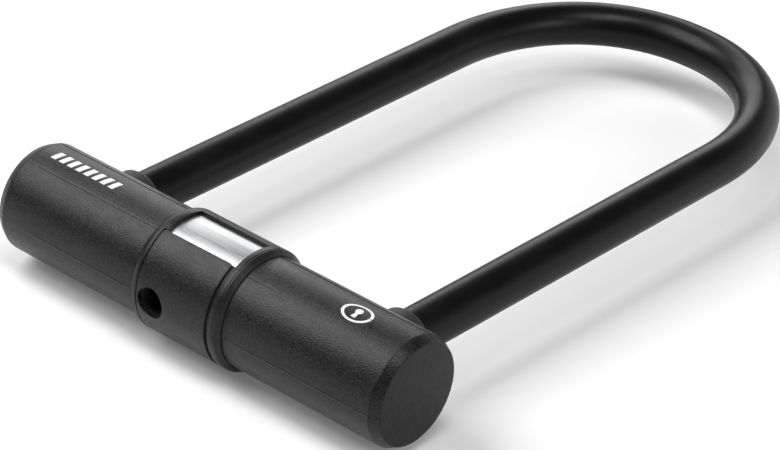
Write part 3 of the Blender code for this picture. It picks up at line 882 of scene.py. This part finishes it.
def build_collar():
    """Collar of two flanges joined by a rail behind, all one moulding."""
    left, right = span("collar_frame", 0)
    profile = rounded([
        (FLANGE_END_RADIUS, right, 0.3),
        (COLLAR_RADIUS, RIGHT_SHOULDER, 0.4),
        (COLLAR_RADIUS, RIGHT_SHOULDER - 0.5, 0.1),
        (COLLAR_RADIUS - CREST_GROOVE, RIGHT_SHOULDER - 0.7, 0.05),
        (COLLAR_RADIUS, RIGHT_SHOULDER - 0.9, 0.1),
        (COLLAR_RADIUS, WINDOW_RIGHT, 0.0),
        (COLLAR_RADIUS, WINDOW_LEFT, 0.0),
        (COLLAR_RADIUS, LEFT_SHOULDER, 2.2),
        (FLANGE_END_RADIUS, left, 0.3),
        (COVER_BORE, left, 0.1),
        (COVER_BORE, WINDOW_LEFT, 0.0),
        (RAIL_BORE, WINDOW_LEFT, 0.0),
        (RAIL_BORE, WINDOW_RIGHT, 0.0),
        (COVER_BORE, WINDOW_RIGHT, 0.0),
        (COVER_BORE, right, 0.1),
    ])
    lines = [LINE_A, LINE_B, LINE_C_RIGHT]
    angles = angles_with_lines(lines, COLLAR_RADIUS)
    mesh = turned("collar_skin", profile, angles, bar_point, collar_relief)
    collar = add("collar_skin", mesh, COLLAR)
    cut(
        collar,
        wedge("track_cutter", WINDOW_LEFT, WINDOW_RIGHT, WINDOW_BOTTOM, TAB_ANGLE),
        wedge("window_cutter", WINDOW_TAB, WINDOW_RIGHT, SHUTTER_TOP, WINDOW_TOP),
    )
    soften(collar, COLLAR_SOFTNESS)
    finish_piece(collar, "crossbar", ["collar_frame"])


def wedge(name, left, right, start, end):
    """Wedge cutter round the crossbar between two angles and two places along it."""
    count = max(3, round((end - start) / 5))
    angles = [start + (end - start) * i / count for i in range(count + 1)]
    solid = bmesh.new()
    sides = []
    for x in (left, right):
        rim = [solid.verts.new(bar_point(x, angle, 2 * COLLAR_RADIUS)) for angle in angles]
        sides.append([solid.verts.new(bar_point(x, 0, 0)), *rim])
    near, far = sides
    solid.faces.new(near)
    solid.faces.new(far)
    count = len(near)
    for i in range(count):
        k = (i + 1) % count
        solid.faces.new([near[i], near[k], far[k], far[i]])
    bmesh.ops.recalc_face_normals(solid, faces=solid.faces)
    mesh = bpy.data.meshes.new(name)
    solid.to_mesh(mesh)
    solid.free()
    return mesh


def build_band():
    """Stainless guard band between the flanges, drilled for the key."""
    left, right = span("guard_band", 0)
    radius = half(span("guard_band", 2))
    profile = rounded([
        (radius, right, 0.15),
        (radius, left, 0.15),
        (COVER_BORE, left, 0.1),
        (COVER_BORE, right, 0.1),
    ])
    mesh = turned("guard_band_skin", profile, even_angles(2), bar_point)
    band = add("guard_band_skin", mesh, STAINLESS)
    cut(band, drum("band_key_cutter", BAND_HOLE_RADIUS, 0, 2 * COLLAR_RADIUS, key_point))
    finish_piece(band, "crossbar", ["guard_band"])


def build_liner():
    """Black rubber ring that lines the keyhole in the band."""
    profile = rounded([
        (LINER_RADIUS, LINER_REAR, 0.1),
        (LINER_RADIUS, LINER_FRONT, 0.15),
        (KEYHOLE_RADIUS, LINER_FRONT, 0.2),
        (KEYHOLE_RADIUS, LINER_REAR, 0.1),
    ])
    mesh = turned("liner_skin", profile, even_angles(5), key_point)
    liner = add("liner_skin", mesh, RUBBER)
    finish_piece(liner, "crossbar", ["keyhole_liner"], 50)


def shutter_relief(x, angle):
    """Mould line beside the keyhole."""
    if x <= KEY_X + KEYHOLE_CLEARANCE:
        return 0.0
    return bump_at(angle, LINE_A, COLLAR_RADIUS, *SHUTTER_GROOVE)


def build_shutter():
    """Turning shutter over the band: a curved plate with rounded corners and a keyhole."""
    left, right = span("shutter", 0)
    angles = angles_with_lines([LINE_A], COLLAR_RADIUS)
    angles = [a - 360 if a > 180 else a for a in angles]
    arc = math.degrees(SHUTTER_CORNER / COLLAR_RADIUS)
    ends = [SHUTTER_TOP - arc * t for t in CORNER_STEPS]
    starts = [SHUTTER_BOTTOM + arc * t for t in CORNER_STEPS]
    kept = [a for a in angles if SHUTTER_BOTTOM + arc + 1 < a < SHUTTER_TOP - arc - 1]
    angles = sorted(set(starts + kept + ends))
    count = round(right - left)
    stations = [left + (right - left) * i / count for i in range(count + 1)]

    def corner(angle):
        """How far the plate's sides are drawn in near its upper and lower edges."""
        depth = min(SHUTTER_TOP - angle, angle - SHUTTER_BOTTOM)
        depth = math.radians(depth) * COLLAR_RADIUS
        if depth >= SHUTTER_CORNER:
            return 0.0
        inward = SHUTTER_CORNER - depth
        return SHUTTER_CORNER - math.sqrt(max(SHUTTER_CORNER**2 - inward**2, 0))

    rows = []
    for angle in angles:
        inset = corner(angle)
        xs = [min(max(x, left + inset), right - inset) for x in stations]
        outer = [bar_point(x, angle, COLLAR_RADIUS + shutter_relief(x, angle)) for x in xs]
        # Painted shade: a dark skirt stepping out from the plate's right edge fills the groove
        # beside the flange, so that it shows dark, as the shaded groove does.
        shade_skirt = [
            bar_point(xs[-1], angle, SHADE_SKIRT_RADIUS),
            bar_point(xs[-1] + SHADE_SKIRT_WIDTH, angle, SHADE_SKIRT_RADIUS),
            bar_point(xs[-1] + SHADE_SKIRT_WIDTH, angle, RAIL_BORE),
        ]
        inner = [bar_point(x, angle, RAIL_BORE) for x in reversed(xs)]
        rows.append(outer + shade_skirt + inner)
    mesh = capped_rows("shutter_skin", rows)
    shutter = add("shutter_skin", mesh, SHUTTER)
    cut(shutter, drum("shutter_key_cutter", KEYHOLE_RADIUS, 0, 2 * COLLAR_RADIUS, key_point))
    soften(shutter, SHUTTER_SOFTNESS)
    finish_piece(shutter, "shutter_sleeve", ["shutter"])


def capped_rows(name, rows):
    """Join closed rows of points with quads and close both ends."""
    solid = bmesh.new()
    made = [[solid.verts.new(point) for point in row] for row in rows]
    count = len(made[0])
    for near, far in zip(made, made[1:]):
        for i in range(count):
            k = (i + 1) % count
            solid.faces.new([near[i], near[k], far[k], far[i]])
    solid.faces.new(made[0])
    solid.faces.new(made[-1])
    bmesh.ops.remove_doubles(solid, verts=solid.verts, dist=0.002 * MM)
    bmesh.ops.recalc_face_normals(solid, faces=solid.faces)
    mesh = bpy.data.meshes.new(name)
    solid.to_mesh(mesh)
    solid.free()
    return mesh


def build_cap(side, name, node):
    """End cap: a flat face, a wide chamfer with a mould line, and a stub in the plug."""
    face = max(span(node, 0), key=abs)
    back_line = LINE_C_RIGHT if side > 0 else LINE_C_LEFT
    profile = rounded([
        (0, face, 0.0),
        (CAP_FACE_RADIUS, face, 0.5),
        (COVER_RADIUS, side * CAP_START, 0.2),
        (CAP_STUB_RADIUS, side * CAP_START, 0.0),
        (CAP_STUB_RADIUS, side * CAP_STUB_END, 0.3),
        (0, side * CAP_STUB_END, 0.0),
    ])

    def relief(radius, where, angle):
        if radius < CAP_FACE_RADIUS - RIM_MARGIN:
            return 0.0
        lift = bump_at(angle, LINE_A, radius, *FINE_GROOVE)
        return lift + ledge_at(angle, back_line, radius, *CROSSING_LEDGE)

    angles = angles_with_lines([LINE_A, back_line], COVER_RADIUS)
    mesh = turned(name, profile, angles, bar_point, relief)
    cap = add(name, mesh, CAP)
    cap.data.materials.append(CAP_RIM)
    for polygon in cap.data.polygons:
        polygon.material_index = int(abs(polygon.normal.x) < CAP_FACE_TILT)
    finish_piece(cap, "crossbar", [node])


# ---------------------------------------------------------------- printed marks


def printed(name, patches):
    """Thin raised print on a cover. Each patch is a strip of (x, angle) rows."""
    high, deep = COVER_RADIUS + INK_TOP, COVER_RADIUS - INK_BOTTOM
    solid = bmesh.new()
    for strip in patches:
        tops = []
        bottoms = []
        for row in strip:
            tops.append([solid.verts.new(bar_point(x, a, high)) for x, a in row])
            bottoms.append([solid.verts.new(bar_point(x, a, deep)) for x, a in row])
        count = len(tops[0])
        for i in range(len(strip) - 1):
            for j in range(count - 1):
                for skin, near, far in ((tops, j, j + 1), (bottoms, j + 1, j)):
                    corners = [skin[i][near], skin[i][far], skin[i + 1][far], skin[i + 1][near]]
                    solid.faces.new(corners)
            for j in (0, count - 1):
                solid.faces.new([tops[i][j], tops[i + 1][j], bottoms[i + 1][j], bottoms[i][j]])
        for i in (0, len(strip) - 1):
            for j in range(count - 1):
                solid.faces.new([tops[i][j], tops[i][j + 1], bottoms[i][j + 1], bottoms[i][j]])
    bmesh.ops.remove_doubles(solid, verts=solid.verts, dist=0.0005 * MM)
    bmesh.ops.recalc_face_normals(solid, faces=solid.faces)
    mesh = bpy.data.meshes.new(name)
    solid.to_mesh(mesh)
    solid.free()
    piece = add(name, mesh, INK)
    finish_piece(piece, "crossbar", [])


def build_prints():
    """Generic marks: a row of slanted bars, and a plain keyhole in a ring."""
    bars = []
    for i in range(BAR_COUNT):
        x = BAR_START + BAR_PITCH * i
        strip = []
        for k in range(BAR_STEPS + 1):
            t = k / BAR_STEPS
            angle = BAR_ANGLE + BAR_TURN * t
            lean = BAR_LEAN * t
            strip.append([(x + lean, angle), (x + lean + BAR_WIDTH, angle)])
        bars.append(strip)
    printed("left_print", bars)

    degrees = math.degrees(1 / COVER_RADIUS)

    def spot(across, up):
        return SIGN_X + across, SIGN_ANGLE + up * degrees

    ring = []
    for i in range(RING_SIDES + 1):
        turn = math.tau * i / RING_SIDES
        across, up = RING_STRETCH * math.cos(turn), math.sin(turn)
        ring.append([spot(r * across, r * up) for r in RING_RADII])
    head = []
    for i in range(HEAD_SIDES + 1):
        turn = math.tau * i / HEAD_SIDES
        across, up = math.cos(turn), math.sin(turn)
        head.append([spot(r * across, HEAD_LIFT + r * up) for r in HEAD_RADII])
    slot = []
    for i in range(SLOT_STEPS + 1):
        t = i / SLOT_STEPS
        width = SLOT_HALF_WIDTH + SLOT_FLARE * t
        low = SLOT_TOP - SLOT_LENGTH * t
        slot.append([spot(-width, low), spot(width, low)])
    printed("right_print", [ring, head, slot])


# ---------------------------------------------------------------- assembly

build_sleeve()
build_rod()
build_cover(-1, "left_cover_skin", "left_cover")
build_cover(1, "right_cover_skin", "right_cover")
build_seal(-1, "left_seal_skin", "left_leg_seal")
build_seal(1, "right_seal_skin", "right_leg_seal")
build_collar()
build_band()
build_liner()
build_shutter()
build_cap(-1, "left_cap_skin", "left_end_cap")
build_cap(1, "right_cap_skin", "right_end_cap")
build_prints()

SLOT_LOOKS = {
    "hardened_steel": STEEL,
    "shackle_vinyl": VINYL,
    "cover_plastic": COVER,
    "collar_plastic": COLLAR,
    "shutter_plastic": SHUTTER,
    "cap_plastic": CAP,
    "brushed_stainless": STAINLESS,
    "black_rubber": RUBBER,
    "cast_zinc": ZINC,
    "lock_brass": BRASS,
    "blackened_steel": BLACK_STEEL_FOR_SHADE,
}

for entry in frame["record"]["subparts"]:
    for place in frame["nodes"][entry["node"]].material_slots:
        place.material = SLOT_LOOKS[entry["material_slot"]]

# ---------------------------------------------------------------- studio


def build_floor():
    """Flat floor that the lock lies on, wide enough to reach past every view."""
    mesh = bpy.data.meshes.new("studio_floor")
    corners = [(-FLOOR_HALF, -FLOOR_HALF, 0), (FLOOR_HALF, -FLOOR_HALF, 0)]
    corners += [(FLOOR_HALF, FLOOR_HALF, 0), (-FLOOR_HALF, FLOOR_HALF, 0)]
    mesh.from_pydata(corners, [], [(0, 1, 2, 3)])
    floor = add("studio_floor", mesh, floor_look())


def build_softbox(name, direction, distance, size, radiance):
    """Soft rectangular light aimed at the lock, its second side turned towards +Y."""
    data = bpy.data.lights.new(name, "AREA")
    data.shape = "RECTANGLE"
    data.size, data.size_y = size
    data.energy = radiance * math.pi * size[0] * size[1]
    lamp = bpy.data.objects.new(name, data)
    away = Vector(direction).normalized()
    across = Vector((0, 1, 0)).cross(away).normalized()
    along = away.cross(across)
    turn = Matrix((across, along, away)).transposed().to_4x4()
    lamp.matrix_world = Matrix.Translation(away * distance) @ turn
    bpy.context.scene.collection.objects.link(lamp)


def build_world():
    """Dim studio all round, with a brighter band low behind the lock on the right."""
    world = bpy.data.worlds.new("studio_world")
    bpy.context.scene.world = world
    world.use_nodes = True
    tree = world.node_tree

    def ranged(source, low, high, new_low, new_high):
        node = tree.nodes.new("ShaderNodeMapRange")
        node.interpolation_type = "SMOOTHSTEP"
        node.inputs["From Min"].default_value = low
        node.inputs["From Max"].default_value = high
        node.inputs["To Min"].default_value = new_low
        node.inputs["To Max"].default_value = new_high
        tree.links.new(source, node.inputs["Value"])
        return node.outputs["Result"]

    def combined(operation, first, second):
        node = tree.nodes.new("ShaderNodeMath")
        node.operation = operation
        for socket, value in zip(node.inputs, (first, second)):
            if isinstance(value, float):
                socket.default_value = value
            else:
                tree.links.new(value, socket)
        return node.outputs["Value"]

    direction = tree.nodes.new("ShaderNodeTexCoord").outputs["Generated"]
    parts = tree.nodes.new("ShaderNodeSeparateXYZ")
    tree.links.new(direction, parts.inputs["Vector"])
    low_band = ranged(parts.outputs["Z"], *BAND_HEIGHTS, 1.0, 0.0)
    diagonal = combined("ADD", parts.outputs["X"], parts.outputs["Y"])
    side = ranged(diagonal, *BAND_SIDES, 0.0, 1.0)
    glow = combined("MULTIPLY", low_band, side)
    shade = tree.nodes["Background"]
    shade.inputs["Color"].default_value = (1, 1, 1, 1)
    tree.links.new(combined("ADD", glow, WORLD_BASE), shade.inputs["Strength"])


def build_lights():
    for softbox in SOFTBOXES:
        build_softbox(*softbox)
    build_world()


def build_camera():
    """Camera on the key side, above and to the right, almost level with the picture's edge."""
    data = bpy.data.cameras.new("camera")
    data.sensor_width = SENSOR
    data.lens = LENS
    data.clip_start = CLIP_NEAR
    data.clip_end = CLIP_FAR
    camera = bpy.data.objects.new("camera", data)
    azimuth = math.radians(CAMERA_AZIMUTH)
    elevation = math.radians(CAMERA_ELEVATION)
    roll = math.radians(CAMERA_ROLL)
    level = math.cos(elevation)
    back = Vector((math.sin(azimuth) * level, -math.cos(azimuth) * level, math.sin(elevation)))
    flat_right = Vector((0, 0, 1)).cross(back).normalized()
    flat_up = back.cross(flat_right)
    right = flat_right * math.cos(roll) + flat_up * math.sin(roll)
    up = flat_up * math.cos(roll) - flat_right * math.sin(roll)
    where = (back * CAMERA_BACK + right * CAMERA_RIGHT + up * CAMERA_UP + CENTRE) * MM
    turn = Matrix((right, up, back)).transposed().to_4x4()
    camera.matrix_world = Matrix.Translation(where) @ turn
    bpy.context.scene.collection.objects.link(camera)
    bpy.context.scene.camera = camera


build_floor()
build_lights()
build_camera()
bpy.context.scene.view_settings.view_transform = "Standard"
